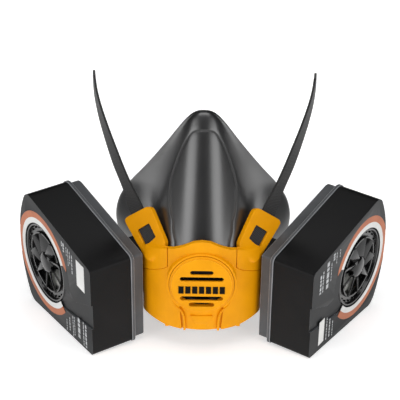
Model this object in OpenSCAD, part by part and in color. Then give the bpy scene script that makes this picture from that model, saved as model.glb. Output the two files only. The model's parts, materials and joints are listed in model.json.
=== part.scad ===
// Half-mask respirator with two side cartridges, standing on the bottom edges of the cartridges.
// Every piece is drawn in the mask's own frame (X across, -Y front, Z up, cartridge mid-line at Z 0).
// stand() then leans that frame back so that both cartridge bottoms lie on the plane Z 0.
// Left is the -X side, which is the left side as seen from the front.

/* [Cartridge] */
// Angle of a cartridge to the mask's centre plane, degrees
filter_yaw = 32.8; // [28:0.2:38]
// Length of a cartridge from its front edge to the rear bulge
filter_len = 94; // [88:1:100]
// Height of a cartridge at its front edge
filter_front_h = 62.4; // [58:0.2:66]
// Angle by which the top and bottom edges open towards the rear
filter_taper = 6.85; // [4:0.05:9]
// Depth of the black casing, from outer face to the grey cap
casing_depth = 27; // [25:0.5:30]
// Depth of the grey cap beyond the casing
cap_depth = 9; // [8:0.5:11]
// Radius of the round inlet dish in the outer face
dish_r = 26; // [24:0.5:26.5]
// Width of the white band round the dish
white_band_w = 3.6; // [3:0.2:4]
// Width of the coloured band outside it
colour_band_w = 4.2; // [3:0.2:4.2]

/* [Mask] */
// Plan radius of the front housing
housing_r = 42.5; // [40:0.5:45]
// Wall of the front housing
housing_wall = 2.4; // [2:0.1:3]
// Wall of the facepiece
face_wall = 2.6; // [2:0.1:3]
// Radius of the exhalation valve cover
cover_r = 18.9; // [17:0.1:20]
// Upward tilt of the valve cover, degrees
cover_tilt = 4.4; // [0:0.2:8]
// Width of the harness webbing
strap_w = 10; // [8:0.5:12]
// Thickness of the harness webbing
strap_t = 1.6; // [1:0.1:2]

/* [Breathing ports] */
// Bore radius of an inhalation port
port_bore_r = 10.6; // [9:0.1:11]
// Number of bayonet lugs on a port
lug_count = 3; // [2:1:4]

/* [Hidden] */
$fn = 64;
eps = 0.01;

// Standing pose: lean so that the opening taper of the cartridges lies level
lean = atan(tan(filter_taper) / cos(filter_yaw));
corner = [64.4, 50];            // front corner of the cartridge's outer face, from the mask's axis
foot_cut = 0.3;                 // shaved off the lower edge so that it stands on a narrow land
stand_y = 2.9;
stand_z = corner[1] * sin(lean) + filter_front_h / 2 * cos(lean) - foot_cut;

// Cartridge outline: front corners, straight top and bottom, rear corners, bulged rear
front_corner_r = 3;
rear_corner_r = 9;
rear_r = 73;
rear_c = filter_len - rear_r;
casing_wall = 1.8;
face_plate = 2;                 // thickness of the casing's outer face
dish_depth = 6.5;
dish_floor = 1.5;
grille_t = 2;
band_t = 0.25;
dish = [61, 0];                 // centre of the dish on the outer face
port = [28, 2];                 // centre of the port on the cartridge's inner face
rim_t = 2.2;                    // grey rim between casing and cap
rim_proud = 0.6;
cap_inset = 1.4;
cap_floor = 2;
cap_face = casing_depth + cap_depth;

// Bayonet between cartridge and port, as depths from the cartridge's outer face
socket_r = 15.8;
socket_flange_r = 18;
socket_in = 4;                  // how far the socket reaches into the cap
socket_out = 2.4;               // how far its flange stands off the cap
tube_r = port_bore_r + 2;
lug_h = 2;
lug_t = 2.2;
lug_angle = 26;
unlock_turn = 35;               // turn of the cartridge that brings the socket's slots to the lugs
gasket_t = 0.7;
flange_t = 1.6;
flange_d = cap_face + socket_out + 0.1 + gasket_t;
boss_d = flange_d + flange_t;
port_end = 62;
collar_in = 10.9;               // where the collars stand off the housing's side face

// Front housing and valve
housing_c = 0.5;                // y of the centre of the housing's plan arc
housing_half = 34.5;
housing_back = 7;
boss_back = 11.2;                // the port bosses end here, clear of the facepiece
housing_bottom = -17;
channel_depth = 1.1;            // of the recess below the cover
valve = [0, -44.2, 19.3];
seat_r = 15.2;

function unit(v) = v / norm(v);
function taper_line(q) = filter_front_h / 2 + q * tan(filter_taper);
function arc(c, r, a0, a1, n) = [for (i = [0:n]) let (a = a0 + (a1 - a0) * i / n) c + r * [cos(a), sin(a)]];
function mirror_y(pts) = [for (i = [len(pts) - 1:-1:0]) [pts[i][0], -pts[i][1]]];

// Centre of the rear corner: tangent to the straight edge and to the bulged rear
corner_a = tan(filter_taper);
corner_b = filter_front_h / 2 - rear_corner_r / cos(filter_taper);
corner_m = corner_a * corner_b - rear_c;
corner_k = rear_c * rear_c + corner_b * corner_b - pow(rear_r - rear_corner_r, 2);
corner_q = (-corner_m + sqrt(corner_m * corner_m - (1 + corner_a * corner_a) * corner_k)) / (1 + corner_a * corner_a);
corner_s = corner_b + corner_a * corner_q;
corner_angle = atan2(corner_s, corner_q - rear_c);

function upper_outline(inset) = concat(
    arc([front_corner_r, taper_line(front_corner_r) - front_corner_r / cos(filter_taper)],
        front_corner_r - inset, 180, 90 + filter_taper, 4),
    arc([corner_q, corner_s], rear_corner_r - inset, 90 + filter_taper, corner_angle, 6),
    arc([rear_c, 0], rear_r - inset, corner_angle, 0, 6));

module cartridge_outline(inset = 0)
    polygon(concat(upper_outline(inset), mirror_y(upper_outline(inset))));

module stand() translate([0, stand_y, stand_z]) rotate([lean, 0, 0]) children();

// side -1 is left, 1 is right: everything is drawn for the left and mirrored
module for_side(side) stand() mirror([side > 0 ? 1 : 0, 0, 0]) children();

// Cartridge frame: X rearward along the outer face, Y up, Z inward towards the mask
module cartridge_frame() translate([-corner[0], -corner[1], 0]) rotate([90, 0, 90 + filter_yaw]) children();

module slab(d0, d1, inset = 0) translate([0, 0, d0]) linear_extrude(d1 - d0) cartridge_outline(inset);

module disc(r, d0, d1) translate([0, 0, d0]) cylinder(r = r, h = d1 - d0);

module tube(r_out, r_in, d0, d1) difference() {
    disc(r_out, d0, d1);
    disc(r_in, d0 - eps, d1 + eps);
}

// The floor plane, seen from inside a cartridge frame, trims the lower edge to a narrow land
module on_floor() intersection() {
    children();
    translate([-200, -200, 0]) cube([400, 400, 300]);
}

// ---- cartridge pieces, in the cartridge frame ----
channel = [[-1, -10.8], [dish[0] - 20, -20], [dish[0] - 20, -3.5], [20, -3.5], [-1, 6.7]];

module casing(side) on_floor() for_side(side) cartridge_frame() difference() {
    union() {
        difference() {
            slab(0, casing_depth);
            slab(face_plate, casing_depth + eps, casing_wall);
        }
        translate(dish) disc(dish_r + 1.6, 0, dish_depth);
    }
    translate(dish) {
        disc(dish_r, -eps, dish_depth - dish_floor);
        disc(dish_r - 3, 0, dish_depth + eps);
        tube(dish_r + white_band_w + colour_band_w, dish_r - 1, -eps, band_t);
    }
    translate([0, 0, -eps]) linear_extrude(1 + eps) polygon(channel);
}

module band_sector(r_in, r_out) intersection() {
    tube(r_out, r_in, 0, band_t);
    difference() {
        linear_extrude(band_t) translate(-dish) cartridge_outline(0.4);
        translate([0, 0, -eps]) linear_extrude(band_t + 2 * eps)
            polygon([[0, 0], 60 * [cos(152), sin(152)], [-60, 0], 60 * [cos(219), sin(219)]]);
    }
}

module white_band(side) for_side(side) cartridge_frame() translate(dish)
    band_sector(dish_r + 0.05, dish_r + white_band_w);

module colour_band(side) for_side(side) cartridge_frame() translate(dish)
    band_sector(dish_r + white_band_w, dish_r + white_band_w + colour_band_w - 0.05);

module inlet_grille(side) for_side(side) cartridge_frame() translate(dish) {
    vanes = 12;
    hub_r = 10;
    seat = dish_depth - dish_floor;
    tube(dish_r - 0.3, dish_r - 4, seat - grille_t, seat);
    disc(hub_r, seat - grille_t - 1.5, seat);
    for (i = [0:vanes - 1]) rotate([0, 0, i * 360 / vanes])
        translate([hub_r - 1, -0.9, seat - grille_t]) cube([dish_r - 4 - hub_r + 2, 1.8, grille_t]);
}

module back_cap(side) on_floor() for_side(side) cartridge_frame() difference() {
    union() {
        slab(casing_depth, casing_depth + rim_t, -rim_proud);
        slab(casing_depth + rim_t - eps, cap_face, cap_inset);
    }
    slab(casing_depth - eps, cap_face - cap_floor, cap_inset + casing_wall - 0.6);
    translate(port) disc(socket_r + 0.05, cap_face - cap_floor - eps, cap_face + eps);
}

module socket(side) for_side(side) cartridge_frame() translate(port) difference() {
    union() {
        disc(socket_r, cap_face - socket_in, cap_face + eps);
        disc(socket_flange_r, cap_face, cap_face + socket_out);
    }
    disc(tube_r + 0.4, cap_face - socket_in - eps, cap_face + socket_out + eps);
    disc(tube_r + lug_h + 0.4, cap_face - socket_in + 1.2, cap_face + 0.6);
    for (i = [0:lug_count - 1]) rotate([0, 0, i * 360 / lug_count + unlock_turn - 2])
        rotate_extrude(angle = lug_angle + 4) translate([tube_r, cap_face])
            square([lug_h + 0.4, socket_out + eps]);
}

// Filter media, front to back: pleated paper, screen, carbon, screen
media_inset = 2.6;
pleats_d = dish_depth + 0.8;
screen_t = 0.6;
carbon_d = 19.4;
carbon_t = 11.4;

module media_outline() difference() {
    cartridge_outline(media_inset);
    translate([-1, -100]) square([6, 200]);
}

module dust_pleats(side) for_side(side) cartridge_frame() translate([0, 0, pleats_d]) intersection() {
    pitch = 6;
    depth = 8;
    count = 13;
    linear_extrude(depth) media_outline();
    rotate([90, 0, 0]) linear_extrude(90, center = true) translate([6, 0])
        polygon(concat([for (i = [0:count]) [i * pitch, 0.4]],
                       [for (i = [2 * count:-1:0]) [i * pitch / 2, i % 2 == 0 ? 1.6 : depth]]));
}

module screen(side, d) for_side(side) cartridge_frame() translate([0, 0, d]) difference() {
    linear_extrude(screen_t) media_outline();
    for (q = [18:12:78], s = [-22:11:22]) translate([q, s, -eps]) cylinder(r = 2.6, h = screen_t + 2 * eps);
}

module carbon_bed(side) for_side(side) cartridge_frame() translate([0, 0, carbon_d])
    linear_extrude(carbon_t) media_outline();

// ---- breathing ports, in the cartridge frame ----
module port_part(side) for_side(side) cartridge_frame() translate(port) {
    difference() {
        union() {
            disc(tube_r, cap_face - socket_in + 1.6, port_end);
            disc(socket_flange_r - 0.5, flange_d, boss_d);
            for (i = [0:lug_count - 1]) rotate([0, 0, i * 360 / lug_count])
                translate([0, 0, cap_face - socket_in + 1.8])
                    rotate_extrude(angle = lug_angle) translate([tube_r - 0.5, 0])
                        square([lug_h + 0.5, lug_t]);
        }
        disc(port_bore_r, 0, port_end + eps);
    }
    for (a = [0, 60, 120]) rotate([0, 0, a])
        translate([-port_bore_r - 0.5, -0.8, port_end - 2]) cube([2 * port_bore_r + 1, 1.6, 1.4]);
}

module port_gasket(side) for_side(side) cartridge_frame() translate(port)
    tube(socket_flange_r - 1, tube_r + 0.1, flange_d - gasket_t, flange_d);

// Collar inside the facepiece, cut along the slant of its side wall
module port_ring(side) for_side(side) intersection() {
    cartridge_frame() translate(port) tube(tube_r + 3, tube_r + 0.05, boss_d, port_end - 1);
    translate([-side_half + collar_in, -60, -60]) cube([60, 120, 120]);
}

module intake_flap(side) for_side(side) cartridge_frame() translate(port) {
    disc(port_bore_r + 0.9, port_end + 0.1, port_end + 0.9);
    disc(2, port_end + 0.9 - eps, port_end + 1.9);
}

// ---- front housing ----
// Plan of the housing: front arc, rounded corners, straight sides
corner_rh = 9;
side_half = housing_half + 1;
corner_xh = side_half - corner_rh;
corner_yh = housing_c - sqrt(pow(housing_r - corner_rh, 2) - corner_xh * corner_xh);
corner_ah = atan2(corner_yh - housing_c, corner_xh);

function plan_half(inset) = concat(
    arc([0, housing_c], housing_r - inset, -90, corner_ah, 12),
    arc([corner_xh, corner_yh], corner_rh - inset, corner_ah * 5 / 6, 0, 5),
    [[side_half - inset, housing_back]]);
function plan(inset) = concat(plan_half(inset), [for (i = [len(plan_half(inset)) - 1:-1:0])
    [-plan_half(inset)[i][0], plan_half(inset)[i][1]]]);

module plan_shell(z0, z1, outer = 0, wall = housing_wall) translate([0, 0, z0]) linear_extrude(z1 - z0)
    difference() {
        polygon(plan(outer));
        translate([0, eps]) polygon(plan(outer + wall));
    }

// Front view of the housing, as half outline: crown, dip, seam with the arm, side, bottom
seam_x = 20;
seam_z = 23;
seam_fall = 8.6;                // how far the seam drops on its way round to the side
half_front = [[0, 47.5], [5, 46.6], [10.5, 43.2], [16, 40.3], [seam_x - 0.1, 39],
              [seam_x - 0.1, seam_z + 3], [seam_x + 3.4, seam_z - 0.1], [side_half + 1, seam_z - seam_fall - 0.1],
              [side_half + 1, housing_bottom + 2], [22, housing_bottom], [0, housing_bottom]];

module front_view(pts, depth) rotate([90, 0, 0]) linear_extrude(depth) union() {
    polygon(pts);
    mirror([1, 0]) polygon(pts);
}

module valve_frame() translate(valve) rotate([90 - cover_tilt, 0, 0]) children();

module port_boss(side) mirror([side > 0 ? 1 : 0, 0, 0]) difference() {
    intersection() {
        cartridge_frame() translate(port) disc(socket_flange_r - 0.8, boss_d, boss_d + 26);
        translate([-side_half - 40, -60, -60]) cube([40 + housing_wall - 0.4, 120, 120]);
    }
    translate([-side_half - 0.1, housing_back, -60]) cube([60, 60, 120]);
    translate([-side_half - 40, boss_back, -60]) cube([60, 60, 120]);
}

module front_housing() color("orange") stand() difference() {
    union() {
        intersection() {
            plan_shell(housing_bottom, 48);
            translate([0, housing_back, 0]) front_view(half_front, 80);
        }
        valve_frame() disc(cover_r + 1.4, -7, 0.2);
        for (side = [-1, 1]) port_boss(side);
    }
    valve_frame() {
        disc(cover_r + 0.3, -1.6, 3);
        disc(seat_r + 0.1, -20, 0);
    }
    // hollow behind the valve boss
    translate([0, 0, housing_bottom - 1]) linear_extrude(80) translate([0, eps])
        intersection() {
            polygon(plan(housing_wall + 3.6));
            translate([-40, -60]) square([80, 72]);
        }
    // recessed channel below the cover
    difference() {
        translate([0, -20, 0]) rotate([90, 0, 0]) linear_extrude(40)
            polygon([[-11.6, housing_bottom - 1], [11.6, housing_bottom - 1], [13.4, 4], [-13.4, 4]]);
        translate([0, 0, housing_bottom - 2]) linear_extrude(30) polygon(plan(channel_depth));
    }
    for (side = [0, 1]) mirror([side, 0, 0]) cartridge_frame() translate(port)
        disc(tube_r + 0.15, boss_d - 1, boss_d + 30);
}

// Slots of the cover, as [height above its centre, length]
slots = [[8.5, 13.6], [4.2, 25.6], [-8.9, 25.2], [-13.2, 15]];
slot_h = 2.9;
cover_plate = 1.4;
mark_bars = 7;                  // plain raised bars between the slots

module valve_cover() color("orange") stand() valve_frame() difference() {
    union() {
        disc(cover_r, -1.5, 0.9);
        disc(cover_r - 1.2, 0.9 - eps, 1.7);
    }
    disc(seat_r - 0.6, -3, 1.7 - cover_plate);
    for (s = slots) translate([0, s[0], -3]) round_slot(s[1], slot_h, 6);
}

module cover_marks() color("#1a1a1a") stand() valve_frame() translate([0, 0, 1.7])
    for (i = [0:mark_bars - 1]) translate([(i - (mark_bars - 1) / 2) * 4 - 1.5, -5.4, 0]) cube([3, 4.8, 0.3]);

// Slot with round ends, about its own centre
module round_slot(length, height, depth) {
    translate([-(length - height) / 2, -height / 2, 0]) cube([length - height, height, depth]);
    for (x = [-1, 1]) translate([x * (length - height) / 2, 0, 0]) cylinder(r = height / 2, h = depth);
}

module valve_seat() color("dimgray") stand() valve_frame() {
    tube(seat_r, 12.4, -7.6, -2.2);
    tube(3.2, 1.4, -7.6, -5.8);
    for (a = [0:60:300]) rotate([0, 0, a]) translate([2.2, -0.7, -7.3]) cube([10.7, 1.4, 1.2]);
}

module valve_flap() color("gainsboro") stand() valve_frame() {
    disc(12.1, -5.7, -4.9);
    disc(1.2, -9, -5.7 + eps);
}

// ---- facepiece ----
// Four key curves from the front opening to the seal edge, each from nose to chin, right half
front_edge = [[0, -37.6, 41], [8, -36.9, 40], [14.6, -35, 36.4], [19.5, -32.4, 35], [24, -28.6, 29],
              [28.6, -25.4, 21], [31, -23, 12], [30, -23.6, 2], [25, -28.8, -8], [13, -35, -13], [0, -37, -14]];
shoulder = [[0, 1.6, 103.2], [8.6, 1.4, 98.6], [18.4, -1.4, 79], [26, -3, 61], [30.2, -5, 47],
            [30.6, -10, 34], [31, -15, 22], [31.4, -16, 4], [28, -18, -10], [16, -21, -18], [0, -22, -20]];
neck = [[0, 5.5, 105], [8.8, 6.8, 100.4], [21, 10, 80], [31, 12, 62], [35.2, 12, 47.5],
        [34.4, 10.5, 33], [31.8, 8, 17], [31.8, 8, 2], [29, 7, -13], [17, 6, -22], [0, 5, -24]];
seal_edge = [[0, 9, 105.6], [9, 10.2, 101], [23, 15.4, 79], [35, 21.5, 60], [45.5, 28, 44],
             [53, 34, 28], [55.5, 37.5, 11], [51.5, 38, -6], [39, 34.5, -20], [20, 29, -27], [0, 26, -29]];
face_axis = [0, 0, 30];          // the wall and the lip are drawn in towards this height on the mid-plane
ring_steps = 4;
side_steps = 2;

function catmull(a, b, c, d, t) = 0.5 * (2 * b + (c - a) * t + (2 * a - 5 * b + 4 * c - d) * t * t
    + (3 * b - a - 3 * c + d) * t * t * t);
function flip_x(p) = [-p[0], p[1], p[2]];
function half_at(pts, i) = i < 0 ? flip_x(pts[-i]) : i > 10 ? flip_x(pts[20 - i]) : pts[i];
function smooth_half(pts) = [for (i = [0:9], k = [0:side_steps - 1])
    catmull(half_at(pts, i - 1), pts[i], pts[i + 1], half_at(pts, i + 2), k / side_steps)];
function ring_of(pts) = let (h = smooth_half(pts), n = len(h))
    concat(h, [pts[10]], [for (i = [n - 1:-1:1]) flip_x(h[i])]);
function toward(p, amount) = let (c = [0, p[1], face_axis[2]], d = p - c) c + d * (1 - amount / norm(d));
function inset_ring(ring, amount, dy) = [for (p = ring) toward(p, amount) + [0, dy, 0]];

face_keys = [for (k = [front_edge, shoulder, neck, seal_edge]) ring_of(k)];
function key_ring(i) = face_keys[min(max(i, 0), 3)];
outer_rings = [for (i = [0:2], k = [0:ring_steps - 1]) let (t = k / ring_steps)
    [for (j = [0:len(face_keys[0]) - 1])
        catmull(key_ring(i - 1)[j], key_ring(i)[j], key_ring(i + 1)[j], key_ring(i + 2)[j], t)]];
lip_w = 13;
shell_rings = concat(outer_rings, [face_keys[3]],
    [inset_ring(face_keys[3], lip_w * 0.5, 0.4), inset_ring(face_keys[3], lip_w, -2.4),
     inset_ring(face_keys[3], lip_w, -4), inset_ring(face_keys[3], lip_w * 0.5, -1.6)],
    [for (i = [len(outer_rings) - 1:-1:0]) inset_ring(outer_rings[i], face_wall, 0)]);

module swept_rings(rings) {
    n = len(rings[0]);
    m = len(rings);
    polyhedron([for (r = rings) each r],
        [for (i = [0:m - 1], j = [0:n - 1], h = [0, 1]) let (a = i * n, b = (i + 1) % m * n, k = (j + 1) % n)
            h == 0 ? [a + j, b + j, b + k] : [a + j, b + k, a + k]], convexity = 8);
}

module facepiece() color("dimgray") stand() difference() {
    swept_rings(shell_rings);
    for (side = [0, 1]) mirror([side, 0, 0]) cartridge_frame() translate(port)
        disc(tube_r + 0.1, boss_d + 2, port_end + 4);
}

// ---- strap arms and webbing ----
// Arm plate: from its seam on the housing to its free end, which carries the webbing
arm_root = [-28.7, -28.8, 34.2];
arm_tip = [-38.5, -11.3, 44.4];
arm_out = [-0.72, 0.52, -0.45];  // roughly across the arm, away from the mask's centre
arm_y = unit(arm_tip - arm_root);
arm_z = unit(cross(arm_y, arm_out));
arm_x = cross(arm_y, arm_z);
arm_t = 3.4;
arm_plate = [[9.6, -5], [11.8, 22], [-11.4, 28.4], [-9.2, -5]];
window = [[5, 3.8], [5, 13.6], [-5.4, 15.9], [-5.4, 5]];
strap_level = -arm_t / 2;       // mid-thickness of the plate, where the webbing runs
strap_start = 3;

module arm_frame() multmatrix([for (i = [0:2]) [arm_x[i], arm_y[i], arm_z[i], arm_root[i]]]) children();

// Polygon with every corner eased over a length d along both of its edges
function eased(pts, d) = [for (i = [0:len(pts) - 1]) let (n = len(pts), p = pts[i],
    a = p + d * unit(pts[(i + n - 1) % n] - p), b = p + d * unit(pts[(i + 1) % n] - p))
    for (t = [0:0.25:1]) a * (1 - t) * (1 - t) + p * 2 * t * (1 - t) + b * t * t];

module strap_arm(side) color("orange") for_side(side) difference() {
    union() {
        intersection() {
            plan_shell(seam_z - seam_fall, 39);
            translate([0, housing_back, 0]) rotate([90, 0, 0]) linear_extrude(70)
                polygon([[-seam_x - 0.1, 38.8], [-seam_x - 0.1, seam_z + 3], [-seam_x - 3.4, seam_z + 0.1],
                         [-side_half - 1, seam_z - seam_fall + 0.1], [-side_half - 1, 32], [-33, 34]]);
            translate([-60, -60, 0]) cube([60, 48, 60]);
        }
        arm_frame() translate([0, 0, -arm_t]) linear_extrude(arm_t) polygon(eased(arm_plate, 4));
    }
    arm_frame() {
        translate([0, 0, -arm_t - 1]) linear_extrude(arm_t + 2) polygon(eased(window, 0.8));
        translate([-strap_w / 2 - 0.3, strap_start - 0.4, strap_level - strap_t / 2 - 0.2])
            cube([strap_w + 0.6, 32, strap_t + 0.4]);
        bar_rod(0.05);
    }
}

// Round bar across the window, under the webbing
module bar_rod(clearance = 0)
    translate([-6.4 - clearance, 10, strap_level - strap_t / 2 - 0.8]) rotate([0, 90, 0])
        cylinder(r = 0.7 + clearance, h = 12.4 + 2 * clearance);

module strap_bar(side) color("dimgray") for_side(side) arm_frame() bar_rod();

// Webbing: a flat band swept along its stations, turning edge-on towards its free end.
// Each station is [x, y, z, bearing of the band's width, in degrees from -X towards +Y]
function arm_at(along) = let (p = arm_root + along * arm_y + strap_level * arm_z) [p[0], p[1], p[2], 0];
strap_route = [arm_at(strap_start), arm_at(26), [-43.2, -3.4, 55.6, 42], [-49.6, 0, 71.5, 48],
               [-54.6, 3.4, 86, 54], [-58.6, 6.2, 99, 61], [-61.4, 8.4, 110.5, 69], [-62.8, 10, 119.5, 77],
               [-63.3, 11.4, 127.5, 84]];

function strap_ring(i) = let (
    n = len(strap_route) - 1,
    p = [for (k = [0:2]) strap_route[i][k]],
    a = [for (k = [0:2]) strap_route[max(i - 1, 0)][k]],
    b = [for (k = [0:2]) strap_route[min(i + 1, n)][k]],
    along = i < 2 ? arm_y : unit(b - a),
    flat = i < 2 ? -arm_x : [-cos(strap_route[i][3]), sin(strap_route[i][3]), 0],
    across = unit(flat - (flat * along) * along),
    thick = cross(across, along))
    [for (s = [[-1, -1], [1, -1], [1, 1], [-1, 1]])
        p + across * s[0] * strap_w / 2 + thick * s[1] * strap_t / 2];

module strap(side) color("#333333") for_side(side) {
    n = len(strap_route) - 1;
    rings = [for (i = [0:n]) strap_ring(i)];
    polyhedron([for (r = rings) each r],
        concat([[3, 2, 1, 0]], [[n * 4, n * 4 + 1, n * 4 + 2, n * 4 + 3]],
            [for (i = [0:n - 1], j = [0:3], h = [0, 1]) let (a = i * 4, b = a + 4, k = (j + 1) % 4)
                h == 0 ? [a + j, a + k, b + k] : [a + j, b + k, b + j]]));
}

facepiece();
front_housing();
valve_cover();
cover_marks();
valve_seat();
valve_flap();
strap_arm(-1);  // strap_arm_left
strap_arm(1);  // strap_arm_right
strap_bar(-1);  // strap_bar_left
strap_bar(1);  // strap_bar_right
strap(-1);  // strap_left
strap(1);  // strap_right
color("#222222") port_part(-1);  // port_left
color("#222222") port_part(1);  // port_right
color("#222222") port_ring(-1);  // port_ring_left
color("#222222") port_ring(1);  // port_ring_right
color("gray") port_gasket(-1);  // port_gasket_left
color("gray") port_gasket(1);  // port_gasket_right
color("gainsboro") intake_flap(-1);  // intake_flap_left
color("gainsboro") intake_flap(1);  // intake_flap_right
color("#1c1c1c") casing(-1);  // casing_left
color("#1c1c1c") casing(1);  // casing_right
color("#6a6a6a") back_cap(-1);  // back_cap_left
color("#6a6a6a") back_cap(1);  // back_cap_right
color("#3a3a3a") socket(-1);  // socket_left
color("#3a3a3a") socket(1);  // socket_right
color("#101010") inlet_grille(-1);  // inlet_grille_left
color("#101010") inlet_grille(1);  // inlet_grille_right
color("white") white_band(-1);  // white_band_left
color("white") white_band(1);  // white_band_right
color("peru") colour_band(-1);  // colour_band_left
color("peru") colour_band(1);  // colour_band_right
color("white") dust_pleats(-1);  // dust_pleats_left
color("white") dust_pleats(1);  // dust_pleats_right
color("silver") screen(-1, carbon_d - screen_t - 0.2);  // front_screen_left
color("silver") screen(1, carbon_d - screen_t - 0.2);  // front_screen_right
color("black") carbon_bed(-1);  // carbon_bed_left
color("black") carbon_bed(1);  // carbon_bed_right
color("silver") screen(-1, carbon_d + carbon_t + 0.2);  // rear_screen_left
color("silver") screen(1, carbon_d + carbon_t + 0.2);  // rear_screen_right
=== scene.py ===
# Half-mask respirator with two side cartridges: the looks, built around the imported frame.
# Places are worked out in two drawing frames, both in millimetres. The mask's own frame has X across, -Y at
# the front and Z up. A cartridge's frame has X rearward along its outer face, Y up and Z inward.
import json
from math import acos, atan2, cos, exp, radians, sin, tau
import bmesh
import bpy
from mathutils import Matrix, Quaternion, Vector
from mathutils.bvhtree import BVHTree
from mathutils.kdtree import KDTree


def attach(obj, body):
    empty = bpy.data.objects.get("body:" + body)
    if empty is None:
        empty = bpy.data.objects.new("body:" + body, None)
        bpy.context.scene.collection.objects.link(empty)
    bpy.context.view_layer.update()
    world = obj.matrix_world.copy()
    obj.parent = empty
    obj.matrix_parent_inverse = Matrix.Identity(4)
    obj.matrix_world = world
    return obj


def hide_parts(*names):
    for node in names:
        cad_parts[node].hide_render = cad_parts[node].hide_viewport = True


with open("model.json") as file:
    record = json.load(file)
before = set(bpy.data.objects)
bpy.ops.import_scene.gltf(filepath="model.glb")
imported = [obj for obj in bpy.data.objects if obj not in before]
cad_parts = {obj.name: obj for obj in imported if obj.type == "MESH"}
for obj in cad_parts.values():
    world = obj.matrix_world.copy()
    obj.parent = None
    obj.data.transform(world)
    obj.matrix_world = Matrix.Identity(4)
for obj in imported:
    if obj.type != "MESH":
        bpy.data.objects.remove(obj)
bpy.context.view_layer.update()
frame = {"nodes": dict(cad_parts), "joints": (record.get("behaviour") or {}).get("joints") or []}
nodes = frame["nodes"]
scene = bpy.context.scene
mm = 0.001
sides = {"left": -1, "right": 1}
print("frame loaded:", len(nodes), "nodes")

# The camera: a long lens in mm, looking down by 25 degrees; places in metres, roll in degrees
cameraSet = {"place": (0.0020, -0.7597, 0.4400), "aim": (-0.0018, -0.0040, 0.0860), "lens": 126, "roll": 0.70}


def addCamera(s):
    data = bpy.data.cameras.new("camera")
    data.lens = s["lens"]  # on the default 36 mm sensor
    camera = bpy.data.objects.new("camera", data)
    scene.collection.objects.link(camera)
    look = (Vector(s["aim"]) - Vector(s["place"])).to_track_quat("-Z", "Y")
    camera.rotation_mode = "QUATERNION"
    camera.rotation_quaternion = look @ Quaternion((0, 0, 1), radians(s["roll"]))
    camera.location = s["place"]
    scene.camera = camera


addCamera(cameraSet)
print("camera placed")

# Drawing frames, from the cartridge joint
twist = next(j for j in frame["joints"] if j["name"] == "cartridge_left_twist")
outward = Vector(twist["axis"])  # left cartridge, away from the mask
lean = atan2(-outward.z, -outward.y)  # the mask leans back on its cartridges
yaw = acos(-outward.x)
portInMask = Vector((-49.31, -6.96, 2.0))  # centre of the left port, in the mask's frame
portInCartridge = Vector((28, 2, 36))  # the same point, in the cartridge's frame
leanTurn = Matrix.Rotation(lean, 4, "X")
maskOrigin = Vector(twist["pos_m"]) - leanTurn @ (portInMask * mm)
maskPlace = Matrix.Translation(maskOrigin) @ leanTurn @ Matrix.Scale(mm, 4)
cartridgeTurn = Matrix(((-sin(yaw), 0, cos(yaw)), (cos(yaw), 0, sin(yaw)), (0, 1, 0))).to_4x4()
cartridgeShift = cartridgeTurn @ Matrix.Translation(-portInCartridge)
cartridgePlace = maskPlace @ Matrix.Translation(portInMask) @ cartridgeShift
mirrorX = Matrix.Scale(-1, 4, Vector((1, 0, 0)))


def toLinear(hexText):
    # the one way from a written sRGB colour to the shader's linear one
    parts = [int(hexText[i:i + 2], 16) / 255 for i in (1, 3, 5)]
    return [p / 12.92 if p <= 0.04045 else ((p + 0.055) / 1.055) ** 2.4 for p in parts] + [1]


def addNode(tree, kind, values=None, links=None, **settings):
    node = tree.nodes.new(kind)
    for name, value in settings.items():
        setattr(node, name, value)
    for name, value in (values or {}).items():
        node.inputs[name].default_value = value
    for name, socket in (links or {}).items():
        tree.links.new(socket, node.inputs[name])
    return node


def startMaterial(name, values):
    material = bpy.data.materials.new(name)
    material.use_nodes = True
    tree = material.node_tree
    shader = tree.nodes["Principled BSDF"]
    for socket, value in values.items():
        shader.inputs[socket].default_value = value
    coords = addNode(tree, "ShaderNodeTexCoord")
    return material, tree, shader, coords


def finishPiece(bm, name, place, body, material, stands=(), smooth=35):
    # puts a drawn shape in its place; edges over smooth, in degrees, stay sharp, and with 0 none does
    bm.transform(place)
    if place.determinant() < 0:
        bmesh.ops.reverse_faces(bm, faces=bm.faces)
    mesh = bpy.data.meshes.new(name)
    bm.to_mesh(mesh)
    bm.free()
    mesh.materials.append(material)
    for face in mesh.polygons:
        face.use_smooth = True
    piece = bpy.data.objects.new(name, mesh)
    scene.collection.objects.link(piece)
    if smooth:
        mesh.set_sharp_from_angle(angle=radians(smooth))
    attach(piece, body)
    if stands:
        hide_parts(*stands)
    return piece


def fullPlace(place, side):
    # the left side's frame, mirrored for the right side
    return mirrorX @ place if side == "right" else place


def catmull(a, b, c, d, t):
    # the smooth curve from b to c, at t from 0 to 1, with a and d as its neighbours
    bend, twirl = 2 * a - 5 * b + 4 * c - d, 3 * b - a - 3 * c + d
    return 0.5 * (2 * b + (c - a) * t + bend * t * t + twirl * t ** 3)


def curveThrough(points, steps):
    last = len(points) - 1
    spans = [[catmull(points[max(i - 1, 0)], points[i], points[i + 1], points[min(i + 2, last)], k / steps)
              for k in range(steps)] for i in range(last)]
    return [p for span in spans for p in span] + [points[last]]


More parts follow.
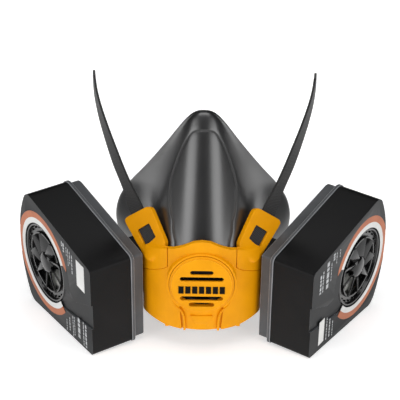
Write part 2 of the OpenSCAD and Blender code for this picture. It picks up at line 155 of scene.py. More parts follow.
def loft(bm, rings, closed=False):
    # one ring of edges, extruded and set in place ring by ring
    order = bm.verts.layers.int.get("order") or bm.verts.layers.int.new("order")
    verts = bmesh.ops.create_circle(bm, segments=len(rings[0]), radius=1)["verts"]
    for i, vert in enumerate(verts):
        vert[order] = i
        vert.co = rings[0][i]
    firstEdges = edges = list({e for v in verts for e in v.link_edges})
    for ring in rings[1:]:
        made = bmesh.ops.extrude_edge_only(bm, edges=edges)["geom"]
        edges = [g for g in made if isinstance(g, bmesh.types.BMEdge)]
        for vert in (g for g in made if isinstance(g, bmesh.types.BMVert)):
            vert.co = ring[vert[order]]
    if closed:
        bmesh.ops.bridge_loops(bm, edges=firstEdges + edges)
    else:
        for loop in (firstEdges, edges):
            bmesh.ops.contextual_create(bm, geom=loop)
    bmesh.ops.recalc_face_normals(bm, faces=bm.faces)


def addBlock(bm, centre, size, turn=None, bevel=0.0):
    spot = Matrix.Translation(centre) @ (turn or Matrix()) @ Matrix.Diagonal((*size, 1))
    verts = bmesh.ops.create_cube(bm, size=1, matrix=spot)["verts"]
    if bevel:
        edges = list({e for v in verts for e in v.link_edges})
        bmesh.ops.bevel(bm, geom=edges, offset=bevel, offset_type="OFFSET", segments=2, profile=0.5,
                        affect="EDGES", material=-1)


def spinProfile(bm, points, segments, centre=(0, 0, 0)):
    # points are (radius, depth) pairs, turned round the depth axis
    verts = [bm.verts.new(Vector(centre) + Vector((r, 0, d))) for r, d in points]
    edges = [bm.edges.new(pair) for pair in zip(verts, verts[1:])]
    bmesh.ops.spin(bm, geom=verts + edges, cent=centre, axis=(0, 0, 1), angle=tau, steps=segments,
                   use_merge=True)
    bmesh.ops.remove_doubles(bm, verts=bm.verts, dist=1e-4)


# merging distance in metres, and angles in degrees
roundingSet = {"merge": 2e-6, "flatWithin": 0.6, "sharpOver": 30, "segments": 3, "smooth": 40}


def softenedCopy(node, name, body, slotName, material, edge, width):
    # the CAD solid with its edges rounded as a mould leaves them; the rounded strip takes a paler material, a
    # painted highlight
    s = roundingSet
    bm = bmesh.new()
    bm.from_mesh(nodes[node].data)
    bmesh.ops.remove_doubles(bm, verts=bm.verts, dist=s["merge"])
    bmesh.ops.dissolve_limit(bm, angle_limit=radians(s["flatWithin"]), verts=bm.verts, edges=bm.edges)
    piece = finishPiece(bm, name, Matrix(), body, material, (node,), s["smooth"])
    # edge is the paler material for the rounded strip: a painted highlight
    piece.data.materials.append(edge)
    rounding = piece.modifiers.new("rounding", "BEVEL")
    rounding.width = width * mm
    rounding.segments = s["segments"]
    rounding.limit_method = "ANGLE"
    rounding.angle_limit = radians(s["sharpOver"])
    rounding.material = 1
    rounding.harden_normals = True
    return piece


def mouldedTpe():
    # thermoplastic rubber, injection moulded: satin, soft broad highlights, faint handling bloom, and painted
    # shade: a fine dark line in the groove, where lineAcross, the distance over it in mm, is near zero
    material, tree, shader, coords = startMaterial("moulded TPE", {"IOR": 1.62, "Specular IOR Level": 1.0})
    bloom = addNode(tree, "ShaderNodeTexNoise", {"Scale": 1 / (22 * mm), "Detail": 3},
                    {"Vector": coords.outputs["Object"]})
    tone = addNode(tree, "ShaderNodeValToRGB", links={"Fac": bloom.outputs["Fac"]})
    tone.color_ramp.elements[0].color = toLinear("#141415")
    tone.color_ramp.elements[1].color = toLinear("#1C1C1D")
    across = addNode(tree, "ShaderNodeAttribute", attribute_name="lineAcross")
    near = addNode(tree, "ShaderNodeAttribute", attribute_name="lineNear")
    gap = addNode(tree, "ShaderNodeMath", links={"Value": across.outputs["Fac"]}, operation="ABSOLUTE")
    grooveShadeFade = addNode(tree, "ShaderNodeMapRange",
                     {"From Min": 0.3, "From Max": 0.85, "To Min": 1, "To Max": 0},  # the line fades over mm
                     {"Value": gap.outputs["Value"]}, interpolation_type="SMOOTHSTEP")
    line = addNode(tree, "ShaderNodeMath", links={0: grooveShadeFade.outputs["Result"], 1: near.outputs["Fac"]},
                   operation="MULTIPLY")
    # painted shade: the groove is mixed to near black
    shaded = addNode(tree, "ShaderNodeMix", {"B": toLinear("#040404")},
                     {"Factor": line.outputs["Value"], "A": tone.outputs["Color"]}, data_type="RGBA")
    grain = addNode(tree, "ShaderNodeTexNoise", {"Scale": 1 / (0.7 * mm), "Detail": 2},
                    {"Vector": coords.outputs["Object"]})
    height = addNode(tree, "ShaderNodeMath", {1: 0.10}, {0: grain.outputs["Fac"]}, operation="MULTIPLY")
    pressed = addNode(tree, "ShaderNodeMath", links={0: height.outputs["Value"], 1: line.outputs["Value"]},
                      operation="SUBTRACT")
    bump = addNode(tree, "ShaderNodeBump", {"Strength": 0.4, "Distance": 0.15 * mm},
                   {"Height": pressed.outputs["Value"]})
    satin = addNode(tree, "ShaderNodeMapRange", {"To Min": 0.28, "To Max": 0.36},
                    {"Value": bloom.outputs["Fac"]})
    rough = addNode(tree, "ShaderNodeMath", {1: 0.5},
                    {0: line.outputs["Value"], 2: satin.outputs["Result"]}, operation="MULTIPLY_ADD")
    tree.links.new(shaded.outputs["Result"], shader.inputs["Base Color"])
    tree.links.new(rough.outputs["Value"], shader.inputs["Roughness"])
    tree.links.new(bump.outputs["Normal"], shader.inputs["Normal"])
    return material


def grainedPlastic(name, dark, light, rough, grainSize, strength, shine=0.5):
    # injection-moulded thermoplastic with a spark-eroded grain, its size in mm; rubbed patches are smoother
    material, tree, shader, coords = startMaterial(name, {"Roughness": rough, "IOR": 1.53,
                                                          "Specular IOR Level": shine})
    cloud = addNode(tree, "ShaderNodeTexNoise", {"Scale": 1 / (16 * mm), "Detail": 4, "Roughness": 0.6},
                    {"Vector": coords.outputs["Object"]})
    tone = addNode(tree, "ShaderNodeValToRGB", links={"Fac": cloud.outputs["Fac"]})
    tone.color_ramp.elements[0].position = 0.3
    tone.color_ramp.elements[1].position = 0.7
    tone.color_ramp.elements[0].color = toLinear(dark)
    tone.color_ramp.elements[1].color = toLinear(light)
    grain = addNode(tree, "ShaderNodeTexNoise", {"Scale": 1 / (grainSize * mm), "Detail": 3},
                    {"Vector": coords.outputs["Object"]})
    bump = addNode(tree, "ShaderNodeBump", {"Strength": strength, "Distance": 0.06 * mm},
                   {"Height": grain.outputs["Fac"]})
    gloss = addNode(tree, "ShaderNodeMapRange", {"To Min": rough - 0.06, "To Max": rough + 0.08},
                    {"Value": cloud.outputs["Fac"]})
    tree.links.new(tone.outputs["Color"], shader.inputs["Base Color"])
    tree.links.new(gloss.outputs["Result"], shader.inputs["Roughness"])
    tree.links.new(bump.outputs["Normal"], shader.inputs["Normal"])
    return material


def wovenWebbing():
    # elastic polyester webbing in plain weave, dull with a slight sheen; yarns are drawn 1 mm wide, twice the
    # real size, so that they show; a wave repeats every tau / (20 * scale) of its coordinate, which is in mm
    yarnWaves = {"Scale": 0.32, "Distortion": 0.4}
    dull = {"Roughness": 0.85, "Sheen Weight": 0.25}
    material, tree, shader, _ = startMaterial("woven elastic webbing", dull)
    across = addNode(tree, "ShaderNodeAttribute", attribute_name="stripAcross")
    along = addNode(tree, "ShaderNodeAttribute", attribute_name="stripAlong")
    place = addNode(tree, "ShaderNodeCombineXYZ",
                    links={"X": across.outputs["Fac"], "Y": along.outputs["Fac"]})
    warp, weft = (addNode(tree, "ShaderNodeTexWave", yarnWaves, {"Vector": place.outputs["Vector"]},
                          bands_direction=direction) for direction in "XY")
    weave = addNode(tree, "ShaderNodeMath", links={0: warp.outputs["Fac"], 1: weft.outputs["Fac"]},
                    operation="MULTIPLY")
    tone = addNode(tree, "ShaderNodeValToRGB", links={"Fac": weave.outputs["Value"]})
    tone.color_ramp.elements[0].color = toLinear("#101011")
    tone.color_ramp.elements[1].color = toLinear("#39393A")
    bump = addNode(tree, "ShaderNodeBump", {"Strength": 0.5, "Distance": 0.2 * mm},
                   {"Height": weave.outputs["Value"]})
    tree.links.new(tone.outputs["Color"], shader.inputs["Base Color"])
    tree.links.new(bump.outputs["Normal"], shader.inputs["Normal"])
    return material


def spottedMaterial(name, dark, light, rough, size, metallic=0.0, strength=0.3):
    # inner media: pleated glass-fibre paper, perforated sheet, granules; spots at the grain's own size
    material, tree, shader, coords = startMaterial(name, {"Roughness": rough, "Metallic": metallic})
    spots = addNode(tree, "ShaderNodeTexVoronoi", {"Scale": 1 / (size * mm)},
                    {"Vector": coords.outputs["Object"]})
    tone = addNode(tree, "ShaderNodeValToRGB", links={"Fac": spots.outputs["Distance"]})
    tone.color_ramp.elements[0].color = toLinear(dark)
    tone.color_ramp.elements[1].color = toLinear(light)
    bump = addNode(tree, "ShaderNodeBump", {"Strength": strength, "Distance": 0.2 * mm},
                   {"Height": spots.outputs["Distance"]})
    tree.links.new(tone.outputs["Color"], shader.inputs["Base Color"])
    tree.links.new(bump.outputs["Normal"], shader.inputs["Normal"])
    return material


tpe = mouldedTpe()
# amber: deep even colour with a soft spread highlight; the rounded edges are painted paler as a painted
# highlight, and are a little glossier
amber = grainedPlastic("amber moulded ABS", "#EC9C00", "#F7A600", 0.42, 0.6, 0.10, 0.12)
amberEdgeHighlight = grainedPlastic("amber ABS with painted edge highlight", "#F9AC10", "#FFB820", 0.38, 0.6, 0.05, 0.25)
# cartridges: near-black walls, bluer satin faces and grey caps, whose rounded edges are painted paler as
# painted highlight lines
casingAbs = grainedPlastic("black moulded ABS", "#0A0A0B", "#101011", 0.40, 0.5, 0.15, 0.13)
casingEdgeHighlight = grainedPlastic("black ABS with painted edge highlight", "#4A4C4E", "#63666A", 0.36, 0.5, 0.08)
faceAbs = grainedPlastic("blue-black satin ABS", "#111315", "#191B1D", 0.40, 0.5, 0.12, 0.14)
capAbs = grainedPlastic("grey moulded ABS", "#484A4D", "#56585B", 0.45, 0.5, 0.15, 0.35)
capEdgeHighlight = grainedPlastic("grey ABS with painted edge highlight", "#84868A", "#9A9CA0", 0.40, 0.5, 0.08)
# grilles: polished, with small sharp highlights; ports and bars: dull black
glossAbs = grainedPlastic("polished black ABS", "#070708", "#0D0D0E", 0.18, 1.2, 0.04)
innerNylon = grainedPlastic("black moulded nylon", "#131314", "#1C1C1D", 0.50, 0.5, 0.15, 0.3)
# inks and label stock: flat, even colours with a slight tooth
markInk = grainedPlastic("black pad print", "#080705", "#100C07", 0.55, 0.4, 0.1, 0.1)
whiteInk = grainedPlastic("white screen print", "#D2D2D0", "#E4E4E2", 0.50, 0.4, 0.08, 0.3)
copperInk = grainedPlastic("copper screen print", "#A85A34", "#C07046", 0.45, 0.4, 0.08, 0.3)
greyInk = grainedPlastic("pale grey pad print", "#B2B4B6", "#D2D4D6", 0.50, 0.4, 0.08, 0.3)
labelPaper = grainedPlastic("white label stock", "#DEDEDC", "#ECECEA", 0.60, 0.3, 0.1, 0.3)
# flaps and gaskets: milky and soft, or black behind the cover
silicone = grainedPlastic("frosted silicone", "#BDBDB8", "#D2D2CC", 0.45, 0.5, 0.05)
darkSilicone = grainedPlastic("black silicone", "#0A0A0A", "#131313", 0.45, 0.5, 0.05, 0.3)
webbing = wovenWebbing()
# filter media: chalky paper, dull metal sheet and rough black granules
filterPaper = spottedMaterial("pleated glass-fibre paper", "#CFCFC8", "#E9E9E4", 0.9, 0.8)
meshSteel = spottedMaterial("perforated sheet steel", "#8C8C8C", "#B8B8B8", 0.4, 1.5, 1.0)
carbon = spottedMaterial("activated carbon granules", "#050505", "#1C1C1C", 0.8, 1.2, 0.0, 0.9)
print("materials made")

# CAD nodes that keep their shape, with the material that each is given
carried = {"valve_seat": innerNylon, "valve_flap": darkSilicone, "cover_marks": markInk}
pairs = {"strap_bar_": innerNylon, "port_": innerNylon, "port_ring_": innerNylon, "socket_": innerNylon,
         "port_gasket_": silicone, "intake_flap_": silicone, "white_band_": whiteInk,
         "colour_band_": copperInk, "dust_pleats_": filterPaper, "front_screen_": meshSteel,
         "carbon_bed_": carbon, "rear_screen_": meshSteel}
for side in sides:
    carried.update({start + side: material for start, material in pairs.items()})
for node, material in carried.items():
    nodes[node].data.materials.clear()
    nodes[node].data.materials.append(material)

# The facepiece: lofted from the front opening to the seal edge, then in under the lip and back inside
faceSet = {
    # the shape's four curves and its parting line, nose to chin, right half
    "opening": [(0, -37.6, 41), (8, -36.9, 40), (14.6, -35, 36.4), (19.5, -32.4, 35), (24, -28.6, 29),
                (28.6, -25.4, 21), (31, -23, 12), (30, -23.6, 2), (25, -28.8, -8), (13, -35, -13),
                (0, -37, -14)],
    "shoulder": [(0, 1.6, 103.2), (8.6, 1.4, 98.6), (18.4, -1.4, 79), (26, -3, 61), (30.2, -5, 47),
                 (30.6, -10, 34), (31, -15, 22), (31.4, -16, 4), (28, -18, -10), (16, -21, -18),
                 (0, -22, -20)],
    "neck": [(0, 5.5, 105), (8.8, 6.8, 100.4), (21, 10, 80), (31, 12, 62), (35.2, 12, 47.5),
             (34.4, 10.5, 33), (31.8, 8, 17), (31.8, 8, 2), (29, 7, -13), (17, 6, -22), (0, 5, -24)],
    "seal": [(0, 9, 105.6), (9, 10.2, 101), (23, 15.4, 79), (35, 21.5, 60), (45.5, 28, 44),
             (53, 34, 28), (55.5, 37.5, 11), (51.5, 38, -6), (39, 34.5, -20), (20, 29, -27), (0, 26, -29)],
    # edge of the harder nose panel, from its top down to the housing
    "groove": [(0, -5, 100), (7.7, -4, 98.4), (13.7, -4.5, 91.7), (18.5, -6.5, 83), (22, -10, 71),
               (22.3, -13, 64.8), (20.3, -19.5, 54.5), (19.1, -24.5, 50.6), (18.8, -28.5, 46),
               (17.2, -33, 41.5), (16.4, -35, 38)],
    "wall": 2.6, "lip": 13, "middle": 30, "softening": 14, "spans": (12, 6, 6), "grooveWidth": 1.0,
    "grooveDepth": 0.15, "reach": 5,
    # rings round the lip, from the seal edge in and back: share of the lip's width, and shift to the rear
    "lipRings": [(0.06, 0.3), (0.5, 0.4), (0.97, -2.3), (1, -3.2), (0.95, -4), (0.5, -1.6)],
}


def faceRing(keys, steps=4):
    # one closed smooth ring through a right half and its mirror image
    keys = [Vector(k) for k in keys]
    flip = Vector((-1, 1, 1))
    last = len(keys) - 1
    at = lambda i: keys[-i] * flip if i < 0 else keys[2 * last - i] * flip if i > last else keys[i]
    half = [catmull(at(i - 1), at(i), at(i + 1), at(i + 2), k / steps)
            for i in range(last) for k in range(steps)]
    return half + [keys[last]] + [p * flip for p in half[:0:-1]]


def drawnIn(ring, amount, shift, middle):
    inward = [Vector((0, p.y, middle)) - p for p in ring]
    return [p + d.normalized() * amount + Vector((0, shift, 0)) for p, d in zip(ring, inward)]


def buildFacepiece(s):
    keys = [faceRing(s[name]) for name in ("opening", "shoulder", "neck", "seal")]
    outer = [[catmull(keys[max(i - 1, 0)][j], keys[i][j], keys[i + 1][j], keys[min(i + 2, 3)][j], k / steps)
              for j in range(len(keys[0]))] for i, steps in enumerate(s["spans"]) for k in range(steps)]
    for _ in range(s["softening"]):  # eases the shoulder; the opening and the seal edge stay
        outer = outer[:1] + [[b.lerp((a + c) / 2, 0.5) for a, b, c in zip(*trio)]
                             for trio in zip(outer, outer[1:], outer[2:] + [keys[3]])][:len(outer) - 1]
    seal = keys[3]
    lip = [drawnIn(seal, s["lip"] * share, shift, s["middle"]) for share, shift in s["lipRings"]]
    inner = [drawnIn(ring, s["wall"], 0, s["middle"]) for ring in outer[::-3]]
    bm = bmesh.new()
    loft(bm, outer + [seal] + lip + inner, closed=True)
    rough = bpy.data.meshes.new("roughFace")
    bm.to_mesh(rough)
    bm.free()
    holder = bpy.data.objects.new("roughFace", rough)
    scene.collection.objects.link(holder)
    holder.modifiers.new("smooth", "SUBSURF").levels = 2
    dense = bpy.data.meshes.new_from_object(holder.evaluated_get(bpy.context.evaluated_depsgraph_get()))
    bpy.data.objects.remove(holder)
    bm = bmesh.new()
    bm.from_mesh(dense)
    cutGroove(bm, s)
    finishPiece(bm, "face_skin", maskPlace, "mask", tpe, ("facepiece",), 60)


def cutGroove(bm, s):
    # the line is laid on the surface and pressed in; its distance is kept for the painted shade in the groove
    tree = BVHTree.FromBMesh(bm)
    half = curveThrough([Vector(p) for p in s["groove"]], 24)
    whole = [p * Vector((-1, 1, 1)) for p in half[:0:-1]] + half
    line = [tree.find_nearest(p)[0] for p in whole]
    finder = KDTree(len(line))
    for i, p in enumerate(line):
        finder.insert(p, i)
    finder.balance()
    bm.normal_update()
    across = bm.verts.layers.float.new("lineAcross")
    nearness = bm.verts.layers.float.new("lineNear")
    moves = []
    for vert in bm.verts:
        spot, i, gap = finder.find(vert.co)
        if gap > s["reach"]:
            continue
        run = line[min(i + 1, len(line) - 1)] - line[max(i - 1, 0)]
        side = run.cross(vert.normal).dot(vert.co - spot)
        vert[across] = gap if side > 0 else -gap
        vert[nearness] = 1 - gap / s["reach"]
        moves.append((vert, vert.normal * s["grooveDepth"] * exp(-(gap / s["grooveWidth"]) ** 2)))
    for vert, move in moves:
        vert.co -= move


buildFacepiece(faceSet)
print("facepiece made")

# Moulded housings, from the CAD solids: piece, body, slot, material, edge material (a painted highlight),
# rounding in mm
rounded = {
    "front_housing": ("housing_shell", "mask", "amber_plastic", amber, amberEdgeHighlight, 0.4),
    "valve_cover": ("valve_cover_shell", "valve_cover", "amber_plastic", amber, amberEdgeHighlight, 0.4),
}
for side in sides:
    body = "cartridge_" + side
    rounded["casing_" + side] = ("casing_shell_" + side, body, "casing_black", casingAbs, casingEdgeHighlight, 0.5)
    rounded["back_cap_" + side] = ("cap_shell_" + side, body, "cap_grey", capAbs, capEdgeHighlight, 0.8)
shells = {name: softenedCopy(node, name, *rest) for node, (name, *rest) in rounded.items()}

# Finishes inside one shell. Lengths are in mm; facing and wall are cosines to the cartridge's outer face
finishSet = {"bossesFrom": 35.8, "facing": 0.97, "wall": 0.2, "channel": (0.1, 0.9), "channelArea": 80}
# slot 1 holds the pale edge material, a painted highlight
edgeHighlightIndex, ownIndex = 1, 2  # material slots of the shells: the moulded one is first


def finishHousing(s):
    # the bosses outside its side walls are black, as the ports are
    mesh = shells["housing_shell"].data
    mesh.materials.append(innerNylon)
    intoMask = maskPlace.inverted()
    for face in mesh.polygons:
        if abs((intoMask @ face.center).x) > s["bossesFrom"]:
            face.material_index = ownIndex


def finishCasing(s, side):
    # the outer face has a satin finish of its own, and the shallow walls of its channel take the pale edge
    # material, a painted highlight
    mesh = shells["casing_shell_" + side].data
    mesh.materials.append(faceAbs)
    outwards = Vector((outward.x * -sides[side], outward.y, outward.z))
    intoCartridge = fullPlace(cartridgePlace, side).inverted()
    shallow, deep = s["channel"]
    for face in mesh.polygons:
        facing = face.normal.dot(outwards)
        if facing > s["facing"]:
            face.material_index = ownIndex
        elif abs(facing) < s["wall"] and face.area < s["channelArea"] * mm ** 2:
            if shallow < (intoCartridge @ face.center).z < deep:
                # painted highlight on the channel walls
                face.material_index = edgeHighlightIndex


finishHousing(finishSet)
for side in sides:
    finishCasing(finishSet, side)
print("housings made")

# The strap arms: each CAD solid taken as one skin, its foot eased into the housing's wall
armSet = {"foot": (-29, -30.2, 31.6), "reach": 7.6, "skin": 0.4, "rounds": 7, "passes": 7, "polish": 2}


def buildArm(s, side):
    holder = bpy.data.objects.new("roughArm", nodes["strap_arm_" + side].data.copy())
    scene.collection.objects.link(holder)
    skin = holder.modifiers.new("skin", "REMESH")
    skin.mode = "VOXEL"
    skin.voxel_size = s["skin"] * mm
    dense = bpy.data.meshes.new_from_object(holder.evaluated_get(bpy.context.evaluated_depsgraph_get()))
    bpy.data.objects.remove(holder)
    bm = bmesh.new()
    bm.from_mesh(dense)
    allAxes = {"use_axis_x": True, "use_axis_y": True, "use_axis_z": True}
    foot = fullPlace(maskPlace, side) @ Vector(s["foot"])
    for i in range(s["rounds"]):
        reach = s["reach"] * mm * (1 - i / (s["rounds"] + 2))  # closer to the foot in each round
        near = [v for v in bm.verts if (v.co - foot).length < reach]
        for _ in range(s["passes"]):
            bmesh.ops.smooth_vert(bm, verts=near, factor=0.5, **allAxes)
    for _ in range(s["polish"]):
        bmesh.ops.smooth_vert(bm, verts=bm.verts, factor=0.4, **allAxes)
    finishPiece(bm, "arm_" + side, Matrix(), "mask", amber, ("strap_arm_" + side,), 45)


for side in sides:
    buildArm(armSet, side)
print("arms made")

# Trim on the housing: ribs beside its channel, a panel in it, clip lugs along the lower edge, and a flange
# that laps behind the seam with each arm
trimSet = {
    "arcCentre": 0.5, "arcRadius": 42.5,  # the housing's front, seen from above
    "rib": [(17.6, 3.0), (15.4, -0.4), (12.4, -3.0), (10.8, -6.4), (10.2, -11), (10, -17.3)],  # (x, z)
    "ribWide": 0.75, "ribSink": 0.3, "ribSides": 10, "ribTip": 0.35, "ribFade": 6,
    "panelZ": -9.4, "panel": (10, 6.4), "panelProud": 0.45, "panelFlare": 0.11, "channelDepth": 1.1,
    "lugs": (-20.6, 22, -32.8, 32.8), "lugZ": -17.2, "lug": (2.4, 1.8, 1.8), "lugSink": 0.9,
    "frontUpTo": 30, "sideLugY": -21.5,  # lugs farther out than this stand on the side walls
    "flange": (20.2, -34.1, 31), "flangeSize": (4.4, 0.8, 15.6), "flangeTurn": 28,
}


def buildTrim(s):
    bm = bmesh.new()
    front = lambda x: s["arcCentre"] - max(0, s["arcRadius"] ** 2 - x * x) ** 0.5
    turns = [tau * k / s["ribSides"] for k in range(s["ribSides"])]
    tip = s["ribTip"]
    for sign in sides.values():
        path = curveThrough([Vector((sign * x, front(x) + s["ribSink"], z)) for x, z in s["rib"]], 5)
        rings = []
        for i, p in enumerate(path):
            ahead = (path[min(i + 1, len(path) - 1)] - path[max(i - 1, 0)]).normalized()
            wide = ahead.cross(Vector((0, 1, 0))).normalized()
            rise = wide.cross(ahead)
            slim = tip + (1 - tip) * min(1, i / s["ribFade"])  # the rib fades out towards the cover
            rings.append([p + (wide * cos(a) + rise * sin(a)) * s["ribWide"] * slim for a in turns])
        loft(bm, rings)
    z, (wide, tall) = s["panelZ"], s["panel"]
    ribs = set(bm.verts)
    addBlock(bm, Vector((0, front(0) + s["channelDepth"], z)), (wide, 2 * s["panelProud"], tall), bevel=0.3)
    for vert in set(bm.verts) - ribs:
        vert.co.x *= 1 + (vert.co.z - z) * s["panelFlare"]
    for x in s["lugs"]:
        y = front(x) + s["lugSink"] if abs(x) < s["frontUpTo"] else s["sideLugY"]
        addBlock(bm, Vector((x, y, s["lugZ"])), s["lug"], bevel=0.4)
    x, y, z = s["flange"]
    for sign in sides.values():
        turn = Matrix.Rotation(radians(sign * s["flangeTurn"]), 4, "Z")
        addBlock(bm, Vector((sign * x, y, z)), s["flangeSize"], turn, 0.2)
    finishPiece(bm, "housing_trim", maskPlace, "mask", amber, (), 50)


buildTrim(trimSet)
print("trim made")

# The webbing: a flat oval strip that runs through the arm and up from its end
webbingSet = {"width": 10, "thick": 1.5, "armDown": -1.7, "sides": 12, "squareness": (1.25, 1.6), "steps": 6,
              "root": (-28.7, -28.8, 34.2), "tip": (-38.5, -11.3, 44.4), "out": (-0.72, 0.52, -0.45),
              "stations": (3, 14.5, 26),  # points inside the arm, as distances from its root
              # free stretch: place, and bearing of the band's width in degrees, from -X towards +Y
              "free": [(-43.2, -3.4, 55.6, 42), (-49.6, 0, 71.5, 48), (-54.6, 3.4, 86, 54),
                       (-58.6, 6.2, 99, 61), (-61.4, 8.4, 110.5, 69), (-62.8, 10, 119.5, 77),
                       (-63.3, 11.4, 127.5, 84)]}


def buildStrap(s, side):
    root, tip, out = (Vector(s[k]) for k in ("root", "tip", "out"))
    along = (tip - root).normalized()
    up = along.cross(out).normalized()
    flat = along.cross(up)
    inArm = [root + along * a + up * s["armDown"] for a in s["stations"]]
    free = [Vector(p[:3]) for p in s["free"]]
    bearings = [radians(p[3]) for p in s["free"]]
    path = curveThrough(inArm + free, s["steps"])
    widths = [-flat for _ in inArm] + [Vector((-cos(a), sin(a), 0)) for a in bearings]
    widths = curveThrough(widths, s["steps"])
    bm = bmesh.new()
    across = bm.verts.layers.float.new("stripAcross")
    lengthwise = bm.verts.layers.float.new("stripAlong")
    turns = [tau * k / s["sides"] for k in range(s["sides"])]
    flatter, squarer = s["squareness"]
    rim = [(max(-1, min(1, cos(a) * flatter)), max(-1, min(1, sin(a) * squarer))) for a in turns]
    rings, travelled, runs = [], 0.0, []
    for i, p in enumerate(path):
        ahead = (path[min(i + 1, len(path) - 1)] - path[max(i - 1, 0)]).normalized()
        wide = (widths[i] - ahead * widths[i].dot(ahead)).normalized()
        thick = wide.cross(ahead)
        rings.append([p + wide * x * s["width"] / 2 + thick * y * s["thick"] / 2 for x, y in rim])
        travelled += (p - path[i - 1]).length if i else 0
        runs.append(travelled)
    loft(bm, rings)
    order = bm.verts.layers.int["order"]
    near = KDTree(len(path))
    for i, p in enumerate(path):
        near.insert(p, i)
    near.balance()
    for vert in bm.verts:
        vert[across] = rim[vert[order]][0] * s["width"] / 2
        vert[lengthwise] = runs[near.find(vert.co)[1]]
    finishPiece(bm, "webbing_" + side, fullPlace(maskPlace, side), "mask", webbing,
                ("strap_" + side,), 40)


for side in sides:
    buildStrap(webbingSet, side)
print("webbing made")

# The inlet grille: notched ring, turned vanes and a domed hub, in the cartridge's frame
grilleSet = {"centre": (61, 0), "ring": 25.6, "ringIn": 18.6, "ringSteps": 72, "hub": 7.6, "hubSteps": 48,
             "floor": 4.6, "vanes": 9, "vane": (6.8, 1.0), "vaneDepth": 2.3, "vaneLap": 0.8, "pitch": 27,
             "notches": 24, "notch": (1.2, 0.7, 0.9), "notchIn": 3.0, "notchDepth": 2.0}


def buildGrille(s, side):
    bm = bmesh.new()
    centre = Vector((*s["centre"], 0))
    floor, ring, ringIn, hub = s["floor"], s["ring"], s["ringIn"], s["hub"]
    ringProfile = [(ring, floor), (ring, 1.1), (ring - 0.5, 0.6), (ring - 1.4, 0.7), (ring - 2.0, 2.4),
                   (ringIn + 1.5, 2.6), (ringIn + 1.1, 1.2), (ringIn + 0.2, 1.2), (ringIn - 0.4, 3.4),
                   (ringIn - 0.4, floor), (ring, floor)]
    hubProfile = [(0, -0.6), (2.6, -0.5), (4.8, -0.1), (6.3, 0.7), (7.2, 1.9), (hub, 3.2), (hub, floor),
                  (0, floor)]
    spinProfile(bm, ringProfile, s["ringSteps"], centre)
    spinProfile(bm, hubProfile, s["hubSteps"], centre)
    vaneSize = (ringIn - hub + 2 * s["vaneLap"], *s["vane"])
    for i in range(s["vanes"]):
        turn = Matrix.Rotation(tau * i / s["vanes"], 4, "Z")
        spot = centre + turn @ Vector(((hub + ringIn) / 2, 0, s["vaneDepth"]))
        addBlock(bm, spot, vaneSize, turn @ Matrix.Rotation(radians(s["pitch"]), 4, "X"), 0.3)
    for i in range(s["notches"]):
        turn = Matrix.Rotation(tau * (i + 0.5) / s["notches"], 4, "Z")
        spot = centre + turn @ Vector((ring - s["notchIn"], 0, s["notchDepth"]))
        addBlock(bm, spot, s["notch"], turn, 0.15)
    finishPiece(bm, "grille_" + side, fullPlace(cartridgePlace, side), "cartridge_" + side,
                glossAbs, ("inlet_grille_" + side,), 40)


for side in sides:
    buildGrille(grilleSet, side)
print("grilles made")

# Printed labels: plain bars and a blank sticker on each cartridge, no lettering
labelSet = {
    "lift": 0.03, "barThick": 0.08, "stickerThick": 0.12,
    # (distance from the front edge, height up the face, width, length)
    "stickers": {"left": (12.2, 20.2, 9.6, 18.6), "right": (14.2, -19.6, 6.4, 17.6)},
    # rows as (distance from the front edge, top, bottom, bar lengths, gap, bar height)
    "rows": {
        "left": [
            (22.5, 29, 15.5, (2.2, 1.4, 3, 1.8), 0.7, 1.0), (25, 30, 20, (1.6, 2.6, 1.2), 0.6, 0.8),
            (27.2, 31, 17, (3.4, 2.2, 1.6), 0.6, 0.6), (29.2, 31, 22, (1.4, 2.2), 0.6, 0.6),
            (32.8, 31.6, 25, (2.4, 1.6, 1.2), 0.5, 1.5), (35, 32, 27, (2, 1.2), 0.5, 0.9),
            (8, -13, -30.6, (2.6, 1.6, 3.2, 2.2), 0.7, 1.6), (11, -12.6, -31, (1.8, 3.0, 1.4), 0.6, 1.0),
            (16.8, -13.6, -32, (3.2, 2.4, 4.2, 2.8), 0.8, 2.6), (22.6, -16.5, -33, (1.4, 2.2, 1.0), 0.6, 0.7),
            (24.6, -17, -33, (2.2, 1.2, 1.6), 0.6, 0.7), (29, -21, -33.4, (1.6, 1.0, 2.4), 0.6, 1.0),
            (33, -25, -33.6, (1.2, 2.0), 0.6, 0.7)],
        "right": [
            (9.2, 25, 9.5, (2.6, 1.6, 2.2), 0.7, 1.8), (12, 26.5, 11, (1.8, 2.8, 1.4), 0.6, 1.1),
            (17.4, 30, 10, (3.2, 2.4, 4.2, 2.8), 0.8, 2.8), (21.6, 27, 12, (2.2, 1.2, 1.6), 0.6, 0.7),
            (24.4, 32, 26, (1.4, 1.0), 0.5, 2.0), (27.5, 31, 22, (1.4, 2.2, 1.0), 0.6, 0.7),
            (31.6, 31, 24, (1.2, 2.0), 0.6, 0.7), (20.6, -13, -31, (1.8, 1.2, 2.4), 0.7, 0.9),
            (24.4, -16, -31, (1.4, 2.2), 0.6, 1.2), (28.2, -20, -32, (2.0, 1.2, 1.0), 0.6, 0.8)],
    },
}


def addRow(bm, row, s):
    # plain bars running down the face, as a line of print would
    q, spot, bottom, lengths, gap, height = row
    i = 0
    while spot - lengths[i % len(lengths)] > bottom:
        run = lengths[i % len(lengths)]
        addBlock(bm, Vector((q, spot - run / 2, -s["lift"])), (height, run, s["barThick"]))
        spot -= run + gap
        i += 1


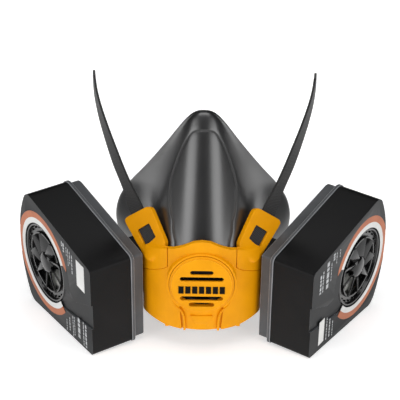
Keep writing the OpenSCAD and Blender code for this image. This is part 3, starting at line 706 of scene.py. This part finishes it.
def buildLabels(s, side):
    place, body = fullPlace(cartridgePlace, side), "cartridge_" + side
    bm = bmesh.new()
    for row in s["rows"][side]:
        addRow(bm, row, s)
    finishPiece(bm, "print_" + side, place, body, greyInk, (), 0)
    bm = bmesh.new()
    q, high, wide, tall = s["stickers"][side]
    addBlock(bm, Vector((q, high, -s["lift"])), (wide, tall, s["stickerThick"]), bevel=0.03)
    finishPiece(bm, "sticker_" + side, place, body, labelPaper, (), 0)


# The coloured band runs out to a point at its upper front end: angles in degrees, radii and depths in mm
tailSet = {"from": 152, "to": 158.6, "inside": 29.7, "outside": 33.75, "tip": 32.5, "steps": 6, "proud": 0.02,
           "thick": 0.2}


def buildTail(s, side):
    bm = bmesh.new()
    centre = Vector((*grilleSet["centre"], -s["proud"]))
    edge = []
    count = s["steps"]
    for radius, steps in ((s["outside"], range(count + 1)), (s["inside"], range(count - 1, -1, -1))):
        for k in steps:
            share = k / count
            turn = radians(s["from"] + (s["to"] - s["from"]) * share)
            r = radius + (s["tip"] - radius) * share
            edge.append(bm.verts.new(centre + Vector((cos(turn), sin(turn), 0)) * r))
    flat = bmesh.ops.contextual_create(bm, geom=edge)["faces"]
    lifted = bmesh.ops.extrude_face_region(bm, geom=flat)["geom"]
    lower = [g for g in lifted if isinstance(g, bmesh.types.BMVert)]
    bmesh.ops.translate(bm, vec=(0, 0, s["thick"]), verts=lower)
    bmesh.ops.recalc_face_normals(bm, faces=bm.faces)
    finishPiece(bm, "band_tail_" + side, fullPlace(cartridgePlace, side), "cartridge_" + side,
                copperInk, (), 30)


for side in sides:
    buildLabels(labelSet, side)
    buildTail(tailSet, side)
print("labels made")

# The floor: a matt white board that is lit from below too, so that it stays white
floorSet = {"size": 6, "colour": "#F4F4F4", "rough": 0.9, "glow": 0.52}


def addFloor(s):
    bm = bmesh.new()
    bmesh.ops.create_grid(bm, x_segments=1, y_segments=1, size=s["size"])
    mesh = bpy.data.meshes.new("floor")
    bm.to_mesh(mesh)
    bm.free()
    mesh.materials.append(startMaterial("matt white board", {
        "Base Color": toLinear(s["colour"]), "Roughness": s["rough"], "Emission Color": (1, 1, 1, 1),
        "Emission Strength": s["glow"]})[0])
    floor = bpy.data.objects.new("floor", mesh)
    scene.collection.objects.link(floor)


# Softboxes: place, aim and size in metres, power in watts, spread in degrees
lights = {
    "front silk": ((0, -0.6, 2.1), (0, -0.1, 0), (2.4, 1.4), 22, 180),
    "background wash": ((0, 1.35, 2.0), (0, 1.1, 0), (4.0, 1.0), 14, 62),
    "left strip": ((-0.91, -0.80, 0.40), (0, 0, 0.08), (0.9, 0.7), 5.4, 180),
    "right strip": ((0.91, -0.80, 0.40), (0, 0, 0.08), (0.9, 0.7), 5.4, 180),
}
surround = 0.05  # strength of the even light from all round


def addSoftbox(name, place, aim, size, power, spread):
    data = bpy.data.lights.new(name, "AREA")
    data.shape = "RECTANGLE"
    data.size, data.size_y = size
    data.energy = power
    data.spread = radians(spread)
    light = bpy.data.objects.new(name, data)
    light.location = place
    light.rotation_euler = (Vector(aim) - Vector(place)).to_track_quat("-Z", "Y").to_euler()
    scene.collection.objects.link(light)


def addSurround(strength):
    world = bpy.data.worlds.new("studio")
    world.use_nodes = True
    background = world.node_tree.nodes["Background"]
    background.inputs["Color"].default_value = (1, 1, 1, 1)
    background.inputs["Strength"].default_value = strength
    scene.world = world


addFloor(floorSet)
for name, settings in lights.items():
    addSoftbox(name, *settings)
addSurround(surround)
scene.view_settings.view_transform = "Standard"  # plain studio contrast
print("floor and lights placed")
